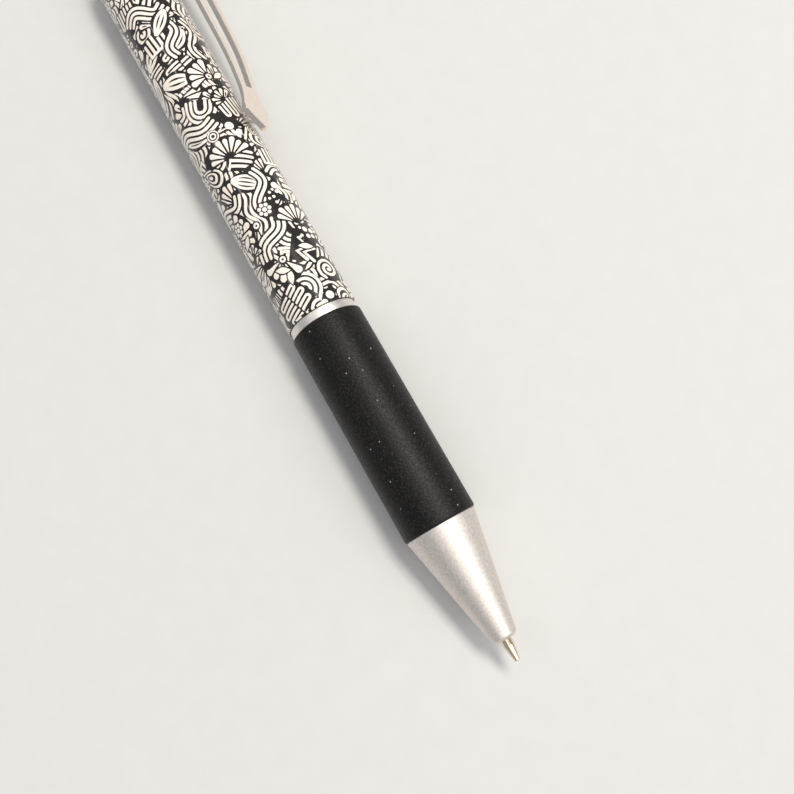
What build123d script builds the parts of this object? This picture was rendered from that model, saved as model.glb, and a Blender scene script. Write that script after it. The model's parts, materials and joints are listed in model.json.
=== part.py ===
from build123d import *
from math import atan2, cos, degrees, radians, sin
import os

# A retractable gel pen, lying on its side with the writing tip out.
# The X axis is the pen's axis: -X is the writing tip, +X the push button. +Z is up.
# The origin is on the axis, half way along the rubber grip.
# Axial places are given as distances behind the front of the writing ball.

# ---- driving dimensions, in millimetres -------------------------------------------

body_r = 6.0  # rubber grip and printed barrel
grip_front = 22.7
grip_rear = 58.7
barrel_front = 60.25
barrel_rear = 129.0
cap_rear = 136.5
button_rear = 142.0

# Writing point and refill
ball_r = 0.35
point_r = 0.9
point_shoulder = 2.6
refill_r = 3.0
refill_wall = 0.5
refill_rear = 110.0
ink_rear = 85.0

# Nose cone
nozzle_front = 3.67
nozzle_r = 2.1
nozzle_bore_r = 1.2
nozzle_chamfer = 0.36
cone_base_r = 5.75
spring_seat = 10.5
spring_room_r = 2.55

# Threaded joints, whose threads are drawn as closed ridges
cone_thread_front = 17.7
cone_thread_r = 4.0
core_r = 4.9
core_bore_r = 3.35
spigot_r = 4.6
spigot_rear = 70.3
thread_pitch = 1.0
thread_depth = 0.25
ring_r = 5.63

# Click mechanism
press_travel = 1.0  # the button goes this much further in than its latched place
retract_travel = 5.5
rib_count = 4
tooth_count = 8
guide_front = 112.0
guide_rear = 125.9
guide_r = 3.95
rib_inner_r = 3.0
rib_width = 1.8
fin_r = 3.75
fin_width = 1.6
fin_front = 113.0
fin_rear = 117.0
crown_height = 0.8

# Push button and rear cap
button_r = 4.0
button_flange_r = 4.4
button_front = 127.0
plunger_r = 3.0
cap_room_r = 4.55
cap_lip_front = 133.6

# Clip: a bent steel strip beside the barrel, on the -Y side and raised
clip_angle = 30.0
clip_sheet = 0.5
clip_lip_depth = 0.7
clip_tip = 91.2
leaf_widest = 94.8
leaf_half_width = 2.8
neck = 98.2
neck_half_width = 2.05
full_width_from = 107.0
strip_half_width = 2.9
root_half_width = 3.1
rail_width = 1.2
slot_front = 98.8
slot_rear = 126.0
arm_end = 129.3
leg_rear = 131.9
leg_bottom_r = 5.3

# Small gaps
running_gap = 0.08
seat_gap = 0.02

origin_distance = (grip_front + grip_rear) / 2


def at(distance):
    """X of a place that is this far behind the front of the ball."""
    return distance - origin_distance


def tube_profile(front, rear, inner_r, outer_r):
    """Half section of a tube, to turn about the X axis."""
    with Locations((at((front + rear) / 2), (inner_r + outer_r) / 2)):
        Rectangle(rear - front, outer_r - inner_r)


def turned_outline(*points):
    """Half section through (distance, radius) points, to turn about the X axis."""
    with BuildLine() as outline:
        Polyline(*[(at(distance), radius) for distance, radius in points], close=True)
    make_face(outline.edges())


def ridged_profile(front, rear, inner_r, outer_r):
    """Half section of an externally threaded tube, with its thread as ridges."""
    tube_profile(front, rear, inner_r, outer_r)
    grooves = int((rear - front) / thread_pitch) - 1
    for index in range(grooves):
        middle = front + thread_pitch * (index + 1)
        with BuildLine() as groove:
            Polyline(
                (at(middle - thread_pitch / 3), outer_r),
                (at(middle), outer_r - thread_depth),
                (at(middle + thread_pitch / 3), outer_r),
                close=True,
            )
        make_face(groove.edges(), mode=Mode.SUBTRACT)


def save(built, name):
    """Label a finished piece and write it."""
    built.part.label = name
    export_step(built.part, f"parts/{name}.step")


os.makedirs("parts", exist_ok=True)

# ---- writing point ----------------------------------------------------------------

with BuildPart() as tip_ball:
    with Locations((at(ball_r), 0, 0)):
        Sphere(ball_r)
save(tip_ball, "tip_ball")

# Metal point: a cone that holds the ball, a neck, and a stouter shank
shank_r = 1.1
shank_front = 6.0
shank_rear = 14.5
lip_front = 0.16
lip_r = 0.42
socket_r = ball_r + 0.025
channel_r = 0.2
spring_bore_r = 0.55
spring_bore_front = 2.2
with BuildPart() as tip_body:
    with BuildSketch(Plane.XY):
        turned_outline(
            (lip_front, 0),
            (lip_front, lip_r),
            (point_shoulder, point_r),
            (shank_front, point_r),
            (shank_front + shank_r - point_r, shank_r),
            (shank_rear, shank_r),
            (shank_rear, 0),
        )
    revolve(axis=Axis.X)
    with Locations((at(ball_r), 0, 0)):
        Sphere(socket_r, mode=Mode.SUBTRACT)
    with BuildSketch(Plane.XY):
        tube_profile(ball_r, spring_bore_front, 0, channel_r)
    revolve(axis=Axis.X, mode=Mode.SUBTRACT)
    with BuildSketch(Plane.XY):
        tube_profile(spring_bore_front, shank_rear, 0, spring_bore_r)
    revolve(axis=Axis.X, mode=Mode.SUBTRACT)
save(tip_body, "tip_body")


def coil(front, rear, turns, coil_r, wire_r):
    """A compression spring about the pen's axis."""
    length = rear - front
    path = Helix(length / turns, length, coil_r, center=(at(front), 0, 0), direction=(1, 0, 0))
    with BuildPart() as spring:
        with BuildSketch(Plane(origin=path @ 0, z_dir=path % 0)):
            Circle(wire_r)
        sweep(path=path, is_frenet=True)
    return spring


# Micro spring that presses the ball against its lip
micro_spring_r = 0.38
micro_wire_r = 0.07
tip_spring = coil(2.5, 9.5, 10, micro_spring_r, micro_wire_r)
save(tip_spring, "tip_spring")

# ---- refill -----------------------------------------------------------------------

# Plastic holder between the metal point and the ink tube
holder_front = 11.8
holder_boss_r = 1.75
holder_lead_in = 0.25
holder_flange_front = 21.0
holder_flange_rear = 22.4
holder_rear = 27.0
holder_channel_r = 0.8
tube_inner_r = refill_r - refill_wall
with BuildPart() as tip_holder:
    with BuildSketch(Plane.XY):
        turned_outline(
            (holder_front, shank_r + seat_gap),
            (holder_front, holder_boss_r - holder_lead_in),
            (holder_front + 2 * holder_lead_in, holder_boss_r),
            (holder_flange_front, holder_boss_r),
            (holder_flange_front, refill_r),
            (holder_flange_rear, refill_r),
            (holder_flange_rear, tube_inner_r - seat_gap),
            (holder_rear, tube_inner_r - seat_gap),
            (holder_rear, holder_channel_r),
            (shank_rear + seat_gap, holder_channel_r),
            (shank_rear + seat_gap, shank_r + seat_gap),
        )
    revolve(axis=Axis.X)
save(tip_holder, "tip_holder")

tail_front = 104.0
tail_flange_front = 108.0
with BuildPart() as refill_tube:
    with BuildSketch(Plane.XY):
        tube_profile(holder_flange_rear, tail_flange_front, tube_inner_r, refill_r)
    revolve(axis=Axis.X)
save(refill_tube, "refill_tube")

with BuildPart() as ink:
    with BuildSketch(Plane.XY):
        tube_profile(holder_rear + seat_gap, ink_rear, 0, tube_inner_r - seat_gap)
    revolve(axis=Axis.X)
save(ink, "ink")

follower_length = 6.0
with BuildPart() as ink_follower:
    with BuildSketch(Plane.XY):
        tube_profile(ink_rear + seat_gap, ink_rear + follower_length, 0, tube_inner_r - seat_gap)
    revolve(axis=Axis.X)
save(ink_follower, "ink_follower")

# Vented plug in the rear of the ink tube
vent_r = 0.8
with BuildPart() as refill_tail:
    with BuildSketch(Plane.XY):
        tube_profile(tail_front, tail_flange_front, vent_r, tube_inner_r - seat_gap)
        tube_profile(tail_flange_front, refill_rear, vent_r, refill_r)
    revolve(axis=Axis.X)
save(refill_tail, "refill_tail")

# Return spring, from the seat in the nose cone to the holder's flange
return_coil_r = 2.1
return_wire_r = 0.22
return_turns = 8
spring_gap = 0.05
return_spring = coil(
    spring_seat + return_wire_r + spring_gap,
    holder_flange_front - return_wire_r - spring_gap,
    return_turns,
    return_coil_r,
    return_wire_r,
)
save(return_spring, "return_spring")

# ---- front section ----------------------------------------------------------------

cone_rim = 0.35  # short cylinder at the cone's base
with BuildPart() as nose_cone:
    with BuildSketch(Plane.XY):
        turned_outline(
            (nozzle_front, nozzle_bore_r),
            (nozzle_front + nozzle_chamfer, nozzle_r),
            (grip_front - cone_rim, cone_base_r),
            (grip_front, cone_base_r),
            (grip_front, cone_thread_r),
            (cone_thread_front, cone_thread_r),
            (cone_thread_front, spring_room_r),
            (spring_seat, spring_room_r),
            (spring_seat, nozzle_bore_r),
        )
    revolve(axis=Axis.X)
save(nose_cone, "nose_cone")

# Plastic core of the grip, threaded at both ends
with BuildPart() as grip_core:
    with BuildSketch(Plane.XY):
        ridged_profile(cone_thread_front + 0.1, grip_front, core_bore_r, cone_thread_r - seat_gap)
        tube_profile(grip_front, grip_rear, core_bore_r, core_r)
        ridged_profile(grip_rear, spigot_rear, core_bore_r, spigot_r)
    revolve(axis=Axis.X)
save(grip_core, "grip_core")

grip_edge = 0.22
with BuildPart() as grip_sleeve:
    with BuildSketch(Plane.XY):
        tube_profile(grip_front, grip_rear, core_r + seat_gap, body_r)
    revolve(axis=Axis.X)
    fillet(faces().filter_by(Plane.YZ).edges().group_by(SortBy.RADIUS)[-1], radius=grip_edge)
save(grip_sleeve, "grip_sleeve")

ring_edge = 0.12
with BuildPart() as trim_ring:
    with BuildSketch(Plane.XY):
        tube_profile(grip_rear + seat_gap, barrel_front - seat_gap, spigot_r + running_gap, ring_r)
    revolve(axis=Axis.X)
    fillet(faces().filter_by(Plane.YZ).edges().group_by(SortBy.RADIUS)[-1], radius=ring_edge)
save(trim_ring, "trim_ring")

# ---- barrel -----------------------------------------------------------------------

barrel_bore_r = 5.0
socket_rear = 72.0
barrel_edge = 0.25
with BuildPart() as barrel:
    with BuildSketch(Plane.XY):
        tube_profile(barrel_front, socket_rear, spigot_r + running_gap, body_r)
        tube_profile(socket_rear, barrel_rear, barrel_bore_r, body_r)
    revolve(axis=Axis.X)
    fillet(faces().filter_by(Plane.YZ).edges().group_by(SortBy.RADIUS)[-1], radius=barrel_edge)
save(barrel, "barrel")

# Guide sleeve: ribs with slanted front ends catch or pass the turning cam
ramp_margin = 0.3
rib_root = 0.3  # how far a rib reaches into the wall
ramp_cutter_r = 2.0
ramp_overcut = 0.05
half_stroke = 360 / tooth_count  # the cam turns this far as the tip goes in
fin_half_angle = degrees(atan2(fin_width / 2, rib_inner_r))
rib_half_angle = degrees(atan2(rib_width / 2, rib_inner_r))
ramp_length = (fin_half_angle + rib_half_angle) * retract_travel / half_stroke
ramp_front = fin_rear + ramp_margin
with BuildPart() as cam_guide:
    with BuildSketch(Plane.XY):
        tube_profile(guide_front, guide_rear, guide_r, barrel_bore_r - seat_gap)
    revolve(axis=Axis.X)
    rib_outer_r = guide_r + rib_root
    with BuildSketch(Plane.YZ.offset(at(ramp_front))):
        with PolarLocations((rib_inner_r + rib_outer_r) / 2, rib_count):
            Rectangle(rib_outer_r - rib_inner_r, rib_width)
    extrude(amount=guide_rear - ramp_front)
    for index in range(rib_count):
        turn = radians(360 / rib_count * index)
        outward = (0, cos(turn), sin(turn))
        rib_side = rib_width / 2 + ramp_overcut
        with BuildSketch(Plane(origin=(0, 0, 0), x_dir=(1, 0, 0), z_dir=outward).offset(ramp_cutter_r)):
            with BuildLine():
                Polyline(
                    (at(ramp_front) - 1, rib_side),
                    (at(ramp_front), rib_side),
                    (at(ramp_front) + ramp_length, -rib_side),
                    (at(ramp_front) - 1, -rib_side),
                    close=True,
                )
            make_face()
        extrude(amount=guide_r - ramp_cutter_r, mode=Mode.SUBTRACT)
save(cam_guide, "cam_guide")

# ---- click mechanism --------------------------------------------------------------

crown_r = 2.15
crown_tooth = 0.85
crown_taper = 18
shaft_r = 2.6
fin_root_r = shaft_r - 0.5
rotor_rear = 118.0
with BuildPart() as rotor_cam:
    with BuildSketch(Plane.XY):
        tube_profile(refill_rear + seat_gap, rotor_rear, vent_r, shaft_r)
    revolve(axis=Axis.X)
    with BuildSketch(Plane.YZ.offset(at(fin_front))):
        with PolarLocations((fin_root_r + fin_r) / 2, rib_count):
            Rectangle(fin_r - fin_root_r, fin_width)
    extrude(amount=fin_rear - fin_front)
    with BuildSketch(Plane.YZ.offset(at(rotor_rear))):
        with PolarLocations(crown_r, tooth_count):
            Rectangle(crown_tooth, crown_tooth)
    extrude(amount=crown_height, taper=crown_taper)
save(rotor_cam, "rotor_cam")

plunger_front = rotor_rear + 2 * crown_height + 0.2
key_front = 121.0
key_rear = 124.0
plunger_rear = 139.0
with BuildPart() as plunger_cam:
    with BuildSketch(Plane.XY):
        tube_profile(plunger_front, button_front, 0, shaft_r)
        tube_profile(button_front, plunger_rear, 0, plunger_r)
    revolve(axis=Axis.X)
    with BuildSketch(Plane.YZ.offset(at(key_front))):
        with PolarLocations((fin_root_r + fin_r) / 2, rib_count, start_angle=180 / rib_count):
            Rectangle(fin_r - fin_root_r, fin_width)
    extrude(amount=key_rear - key_front)
    with BuildSketch(Plane.YZ.offset(at(plunger_front))):
        with PolarLocations(crown_r, tooth_count):
            Rectangle(crown_tooth, crown_tooth)
    extrude(amount=-crown_height, taper=crown_taper)
save(plunger_cam, "plunger_cam")

button_floor = 139.5
button_end_r = 3.75
button_edge = 0.9
with BuildPart() as push_button:
    with BuildSketch(Plane.XY):
        turned_outline(
            (button_front, plunger_r + seat_gap),
            (button_front, button_flange_r),
            (button_front + press_travel, button_flange_r),
            (button_front + press_travel, button_r),
            (cap_rear, button_r),
            (button_rear, button_end_r),
            (button_rear, 0),
            (button_floor, 0),
            (button_floor, plunger_r + seat_gap),
        )
    revolve(axis=Axis.X)
    fillet(edges().filter_by(GeomType.CIRCLE).sort_by(Axis.X)[-1], radius=button_edge)
save(push_button, "push_button")

# ---- rear cap and clip ------------------------------------------------------------

side = radians(clip_angle)
clip_out = (0, -cos(side), sin(side))  # away from the barrel
clip_up = (0, sin(side), cos(side))  # across the strip
# On the side plane, x runs along the pen and y away from it
side_plane = Plane(origin=(0, 0, 0), x_dir=(1, 0, 0), z_dir=(0, -sin(side), -cos(side)))
# On the plan plane, x runs along the pen and y across the strip
plan_plane = Plane(origin=(0, 0, 0), x_dir=(1, 0, 0), z_dir=clip_out)

cap_shoulder = 132.6
cap_end_r = 5.1
cap_edge = 0.6
cap_spigot_front = 126.0
leg_slot_gap = 0.3
leg_front = leg_rear - 0.55
with BuildPart() as top_cap:
    with BuildSketch(Plane.XY):
        with BuildLine():
            Polyline(
                (at(cap_rear), button_r + running_gap),
                (at(cap_lip_front), button_r + running_gap),
                (at(cap_lip_front), cap_room_r),
                (at(cap_spigot_front), cap_room_r),
                (at(cap_spigot_front), barrel_bore_r - seat_gap),
                (at(barrel_rear), barrel_bore_r - seat_gap),
                (at(barrel_rear), body_r),
                (at(cap_shoulder), body_r),
            )
            TangentArc(
                (at(cap_shoulder), body_r),
                (at(cap_rear), cap_end_r),
                tangent=(1, 0),
            )
            Line((at(cap_rear), cap_end_r), (at(cap_rear), button_r + running_gap))
        make_face()
    revolve(axis=Axis.X)
    cap_back = faces().sort_by(Axis.X)[-1]
    fillet(cap_back.edges().sort_by(SortBy.RADIUS)[-1], radius=cap_edge)
    # Slot that holds the clip's leg
    with BuildSketch(plan_plane.offset(leg_bottom_r - leg_slot_gap)):
        with Locations((at((leg_front + leg_rear) / 2), 0)):
            Rectangle(leg_rear - leg_front + 2 * leg_slot_gap, 2 * (root_half_width + leg_slot_gap))
    extrude(amount=body_r, mode=Mode.SUBTRACT)
save(top_cap, "top_cap")

# Outer line of the strip seen from the side: (distance, radius)
leaf_r = 8.65
arm_line = [(neck - 2, 8.8), (100.0, 9.6), (104.7, 10.35), (110.0, 10.72), (121.0, 11.1), (arm_end, 10.95)]
arm_bend_r = 2.2
beyond = 15.0  # more than any width or height of the clip


def arm_side(depth):
    """Side view of the strip from its leaf to the bend, this deep from its outer face."""
    outer_points = [(at(distance), radius) for distance, radius in arm_line]
    inner_points = [(x, radius - depth) for x, radius in outer_points]
    with BuildLine() as outline:
        Spline(*outer_points)
        Line(outer_points[-1], inner_points[-1])
        Spline(*inner_points)
        Line(inner_points[0], outer_points[0])
    make_face(outline.edges())


def half_width_at(distance):
    """Half width of the strip, which widens from its neck to its full width and then its root."""
    if distance < full_width_from:
        share = (distance - neck) / (full_width_from - neck)
        return neck_half_width + share * (strip_half_width - neck_half_width)
    share = (distance - full_width_from) / (leg_rear - full_width_from)
    return strip_half_width + share * (root_half_width - strip_half_width)


def strip_plan():
    """Plan of the clip: a pointed leaf, a neck, and a strip that widens to its root."""
    with BuildLine() as half:
        Spline(
            (at(clip_tip), 0),
            (at(clip_tip) + 1.0, 1.15),
            (at(leaf_widest) - 1.1, 2.2),
            (at(leaf_widest), leaf_half_width),
            tangents=((0, 1), (1, 0)),
        )
        Spline(
            (at(leaf_widest), leaf_half_width),
            (at(neck), neck_half_width),
            tangents=((1, 0), (1, 0)),
        )
        Line((at(neck), neck_half_width), (at(full_width_from), strip_half_width))
        Line((at(full_width_from), strip_half_width), (at(leg_rear), root_half_width))
        Line((at(leg_rear), root_half_width), (at(leg_rear), 0))
        Line((at(leg_rear), 0), (at(clip_tip), 0))
    make_face(half.edges())
    mirror(about=Plane.XZ)


def slot_plan(margin):
    """Plan of the clip's slot, made larger all round by a margin."""
    corners = []
    for distance, step in ((slot_front, -margin), (full_width_from, 0), (slot_rear, margin)):
        corners.append((at(distance) + step, half_width_at(distance) - rail_width + margin))
    with BuildLine() as outline:
        Polyline(*corners, *[(x, -half) for x, half in reversed(corners)], close=True)
    make_face(outline.edges())


# Turned-in lips that stiffen the slot
slot_lip = 0.35
with BuildPart() as slot_lips:
    with BuildSketch(side_plane):
        arm_side(clip_lip_depth)
    extrude(amount=root_half_width, both=True)
    with BuildSketch(plan_plane):
        slot_plan(slot_lip)
    extrude(amount=beyond, mode=Mode.INTERSECT)

# Leaf: a flat plate with its edge turned down around the point
rim_depth = 0.95
rim_wall = 0.4
rim_rear = leaf_widest + 0.6


def rim_plan(inset):
    """Plan of the leaf's pointed part, made smaller all round by an inset."""
    with BuildLine() as half:
        Spline(
            (at(clip_tip) + inset, 0),
            (at(clip_tip) + 1.0 + inset / 2, 1.15 - inset / 2),
            (at(leaf_widest) - 1.1, 2.2 - inset),
            (at(leaf_widest), leaf_half_width - inset),
            tangents=((0, 1), (1, 0)),
        )
        Line((at(leaf_widest), leaf_half_width - inset), (at(rim_rear), leaf_half_width - inset))
        Line((at(rim_rear), leaf_half_width - inset), (at(rim_rear), 0))
        Line((at(rim_rear), 0), (at(clip_tip) + inset, 0))
    make_face(half.edges())
    mirror(about=Plane.XZ)


with BuildPart() as clip_leaf:
    with BuildSketch(plan_plane.offset(leaf_r - rim_depth)):
        rim_plan(0)
    extrude(amount=rim_depth)
    with BuildSketch(plan_plane.offset(leaf_r - rim_depth)):
        rim_plan(rim_wall)
    extrude(amount=rim_depth - clip_sheet, mode=Mode.SUBTRACT)
    with BuildSketch(plan_plane):
        strip_plan()
    extrude(amount=beyond, mode=Mode.INTERSECT)
with BuildPart() as clip_neck:
    with BuildSketch(side_plane):
        neck_start = (at(rim_rear) - 0.1, leaf_r)
        neck_end = (at(arm_line[0][0]) + 0.5, arm_line[0][1] + 0.12)
        Polygon(
            neck_start,
            neck_end,
            (neck_end[0], neck_end[1] - clip_sheet),
            (neck_start[0], leaf_r - clip_sheet),
            align=None,
        )
    extrude(amount=leaf_half_width, both=True)
    with BuildSketch(plan_plane):
        strip_plan()
    extrude(amount=beyond, mode=Mode.INTERSECT)

# Foot: a narrow tab that curls under the leaf and rests on the barrel
foot_low_r = body_r + 0.2
foot_low = 94.6
foot_half_width = 1.1
foot_sheet = 0.45
with BuildPart() as clip_foot:
    with BuildSketch(side_plane):
        foot_root = at(clip_tip) + rim_wall
        Polygon(
            (foot_root - 0.1, leaf_r - rim_depth + 0.3),
            (foot_root - 0.1, leaf_r - rim_depth),
            (at(foot_low) - 0.4, foot_low_r),
            (at(foot_low) + 0.4, foot_low_r),
            (at(foot_low) + 2.0, foot_low_r + 1.0),
            (at(foot_low) + 1.7, foot_low_r + 1.3),
            (at(foot_low) + 0.2, foot_low_r + foot_sheet),
            (at(foot_low) - 0.2, foot_low_r + foot_sheet),
            (foot_root + 0.6, leaf_r - rim_depth + 0.3),
            align=None,
        )
    extrude(amount=foot_half_width, both=True)
    with BuildSketch(plan_plane):
        strip_plan()
    extrude(amount=beyond, mode=Mode.INTERSECT)

with BuildPart() as clip:
    with BuildSketch(side_plane):
        arm_side(clip_sheet)
        bend_outer = (at(arm_end), arm_line[-1][1])
        bend_bottom = bend_outer[1] - arm_bend_r
        with BuildLine():
            outer_bend = TangentArc(bend_outer, (at(leg_rear), bend_bottom), tangent=(1, -0.03))
            Line(outer_bend @ 1, (at(leg_rear), leg_bottom_r))
            Line((at(leg_rear), leg_bottom_r), (at(leg_front), leg_bottom_r))
            Line((at(leg_front), leg_bottom_r), (at(leg_front), bend_bottom))
            inner_end = (bend_outer[0], bend_outer[1] - clip_sheet)
            inner_bend = TangentArc((at(leg_front), bend_bottom), inner_end, tangent=(0, 1))
            Line(inner_bend @ 1, bend_outer)
        make_face()
    extrude(amount=root_half_width, both=True)
    with BuildSketch(plan_plane):
        strip_plan()
    extrude(amount=beyond, mode=Mode.INTERSECT)
    add(slot_lips.part)
    add(clip_leaf.part)
    add(clip_neck.part)
    add(clip_foot.part)
    with BuildSketch(plan_plane.offset(body_r + 1)):
        slot_plan(0)
    extrude(amount=beyond, mode=Mode.SUBTRACT)
save(clip, "clip")
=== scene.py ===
import json
import random
from math import cos, floor, hypot, pi, radians, sin, tan

import bmesh
import bpy
import numpy as np
from mathutils import Matrix, Vector, geometry


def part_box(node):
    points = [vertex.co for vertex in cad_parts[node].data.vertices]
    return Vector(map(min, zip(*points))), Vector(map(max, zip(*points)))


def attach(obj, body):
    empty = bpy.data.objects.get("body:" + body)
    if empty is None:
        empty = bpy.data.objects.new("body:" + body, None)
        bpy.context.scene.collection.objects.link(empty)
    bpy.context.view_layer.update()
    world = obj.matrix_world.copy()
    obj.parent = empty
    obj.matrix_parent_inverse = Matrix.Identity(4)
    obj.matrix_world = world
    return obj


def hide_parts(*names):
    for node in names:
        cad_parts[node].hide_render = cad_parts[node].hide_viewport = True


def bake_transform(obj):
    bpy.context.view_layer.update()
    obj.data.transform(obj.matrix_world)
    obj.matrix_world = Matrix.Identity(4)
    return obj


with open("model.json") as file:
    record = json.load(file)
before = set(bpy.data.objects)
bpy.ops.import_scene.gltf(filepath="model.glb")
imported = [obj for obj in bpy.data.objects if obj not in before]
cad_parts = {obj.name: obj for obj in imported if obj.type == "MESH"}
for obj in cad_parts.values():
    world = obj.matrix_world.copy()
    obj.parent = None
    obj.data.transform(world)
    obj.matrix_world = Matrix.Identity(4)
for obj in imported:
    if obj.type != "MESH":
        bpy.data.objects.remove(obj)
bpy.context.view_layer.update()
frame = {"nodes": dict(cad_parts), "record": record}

# A retractable gel pen. The frame holds the CAD model: the pen lies along X, tip at -X.
# This script gives it its looks: finer shells for every piece that shows, the printed
# pattern on the barrel, the materials, the floor, the light and the camera.

MM = 0.001
SEGMENTS = 160  # facets around a turned piece
CORNER_STEPS = 5  # facets over a rounded corner
SHARP, SHEET_SHARP = 35, 50  # degrees from which a crease stays sharp


def node_x(node):
    """First and last X of a CAD node."""
    low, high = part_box(node)
    return low.x, high.x


def node_radius(node):
    """Outer radius of a turned CAD node."""
    low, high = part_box(node)
    return (high.z - low.z) / 2


def new_object(name, data):
    """An object with this data, in the scene."""
    made = bpy.data.objects.new(name, data)
    bpy.context.scene.collection.objects.link(made)
    return made


# ---- camera, light and floor ----

TIP_X = node_x("tip_ball")[0]  # the front of the writing ball
FLOOR_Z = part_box("barrel")[0].z  # the barrel lies on the floor
FLOOR_SIZE = 4.0

# The camera that fits the photograph: places in millimetres, X from the front of the ball
EYE = (19.3, 3.4, 130.7)
TARGET = (43.1, -4.0, 0.0)
ROLL = radians(-29.5)
SENSOR = 36  # millimetres
FOCAL_PIXELS, IMAGE_PIXELS = 854, 794

WORLD_COLOUR, WORLD_STRENGTH = (0.92, 0.95, 1.0, 1), 0.38
# name, place, target, width and height in metres, watts, colour
LIGHTS = [
    ("key", (0.14, -0.40, 1.0), (0, 0, 0), (0.44, 0.22), 8.6, (1.0, 0.95, 0.87)),
    ("front_fill", (-0.76, -0.64, 0.88), (0, 0, 0), (0.80, 0.80), 5.6, (1.0, 0.98, 0.95)),
    ("tip_softbox", (-0.44, 0.06, 1.0), (-0.02, 0, 0), (0.50, 1.30), 2.2, (1.0, 0.95, 0.90)),
    ("strip", (0.40, 0.40, 0.68), (0.05, 0, 0), (0.6, 0.04), 0.5, (1.0, 0.90, 0.94)),
]


def add_camera():
    """The photograph's view: from above, a little behind the tip, looking towards the barrel."""
    eye, target = (Vector((TIP_X + x * MM, y * MM, z * MM)) for x, y, z in (EYE, TARGET))
    forward = (target - eye).normalized()
    right = forward.cross(Vector((cos(ROLL), sin(ROLL), 0))).normalized()
    up = right.cross(forward)
    data = bpy.data.cameras.new("camera")
    data.sensor_width = SENSOR
    data.lens = SENSOR * FOCAL_PIXELS / IMAGE_PIXELS
    data.clip_start = 0.005
    data.clip_end = 20
    camera = new_object("camera", data)
    facing = Matrix((right, up, -forward)).transposed()
    camera.matrix_world = Matrix.Translation(eye) @ facing.to_4x4()
    bpy.context.scene.camera = camera


def add_area_light(name, place, target, size, power, colour):
    data = bpy.data.lights.new(name, "AREA")
    data.shape = "RECTANGLE"
    data.size, data.size_y = size
    data.energy = power
    data.color = colour
    light = new_object(name, data)
    light.location = place
    direction = Vector(target) - Vector(place)
    light.rotation_euler = direction.to_track_quat("-Z", "Y").to_euler()


def add_studio():
    """A dim world, a soft key above, a broad fill in front, a softbox and a faint strip."""
    world = bpy.data.worlds.new("studio")
    bpy.context.scene.world = world
    world.use_nodes = True
    background = world.node_tree.nodes["Background"]
    background.inputs["Color"].default_value = WORLD_COLOUR
    background.inputs["Strength"].default_value = WORLD_STRENGTH
    for light in LIGHTS:
        add_area_light(*light)
    bpy.context.scene.view_settings.view_transform = "Standard"


def add_floor():
    """A plain pale sheet under the pen, with a fine paper tooth."""
    mesh = bpy.data.meshes.new("floor")
    grid = bmesh.new()
    bmesh.ops.create_grid(grid, x_segments=8, y_segments=8, size=FLOOR_SIZE)
    grid.to_mesh(mesh)
    grid.free()
    sheet = new_object("floor", mesh)
    sheet.location.z = FLOOR_Z
    mesh.materials.append(paper_material())


# ---- material helpers ----


class Shader:
    """A Principled material under construction, with short names for its usual nodes."""

    def __init__(self, name, **values):
        self.material = bpy.data.materials.new(name)
        self.material.use_nodes = True
        self.tree = self.material.node_tree
        self.bsdf = self.tree.nodes["Principled BSDF"]
        for socket, value in values.items():
            self.bsdf.inputs[socket.replace("_", " ")].default_value = value
        coordinates = self.tree.nodes.new("ShaderNodeTexCoord")
        self.place = coordinates.outputs["Object"]

    def link(self, output, socket):
        self.tree.links.new(output, socket)

    def node(self, kind, values, **links):
        """A new node with values set on its sockets and outputs linked into others."""
        node = self.tree.nodes.new("ShaderNode" + kind)
        for socket, value in values.items():
            node.inputs[socket].default_value = value
        for socket, output in links.items():
            self.link(output, node.inputs[socket])
        return node

    def stretched(self, scale):
        """Object coordinates scaled along each axis."""
        return self.node("Mapping", {"Scale": scale}, Vector=self.place).outputs["Vector"]

    def noise(self, size, detail=3.0, place=None, roughness=0.55):
        """Noise whose features are about this many millimetres across."""
        values = {"Scale": 1 / (size * MM), "Detail": detail, "Roughness": roughness}
        return self.node("TexNoise", values, Vector=place or self.place).outputs["Fac"]

    def speckle(self, size):
        """Cell noise: the distance to scattered points, this many millimetres apart."""
        cells = self.node("TexVoronoi", {"Scale": 1 / (size * MM)}, Vector=self.place)
        return cells.outputs["Distance"]

    def ramp(self, factor, *stops):
        """Colours or greys against a factor: (position, colour) pairs."""
        node = self.node("ValToRGB", {}, Fac=factor)
        while len(node.color_ramp.elements) < len(stops):
            node.color_ramp.elements.new(1.0)
        for element, (position, colour) in zip(node.color_ramp.elements, stops):
            element.position = position
            element.color = (*((colour,) * 3 if isinstance(colour, float) else colour), 1)
        return node.outputs["Color"]

    def colour(self, factor, *stops):
        self.link(self.ramp(factor, *stops), self.bsdf.inputs["Base Color"])

    def roughness(self, factor, low, high):
        """Roughness from low to high over the span that noise mostly keeps to."""
        values = {"From Min": 0.3, "From Max": 0.7, "To Min": low, "To Max": high}
        node = self.node("MapRange", values, Value=factor)
        self.link(node.outputs["Result"], self.bsdf.inputs["Roughness"])

    def bump(self, height, depth, strength=1.0, under=None):
        """Bump of this depth in millimetres. Returns the normal, to stack another on it."""
        node = self.node("Bump", {"Strength": strength, "Distance": depth * MM}, Height=height)
        if under is not None:
            self.link(under, node.inputs["Normal"])
        self.link(node.outputs["Normal"], self.bsdf.inputs["Normal"])
        return node.outputs["Normal"]


# ---- materials ----


def paper_material():
    shader = Shader("paper")
    shader.colour(shader.noise(4.0), (0.35, (0.605, 0.605, 0.597)), (0.65, (0.617, 0.617, 0.61)))
    shader.roughness(shader.noise(1.0), 0.75, 0.9)
    shader.bump(shader.noise(0.35), 0.02, 0.4)
    return shader.material


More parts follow.
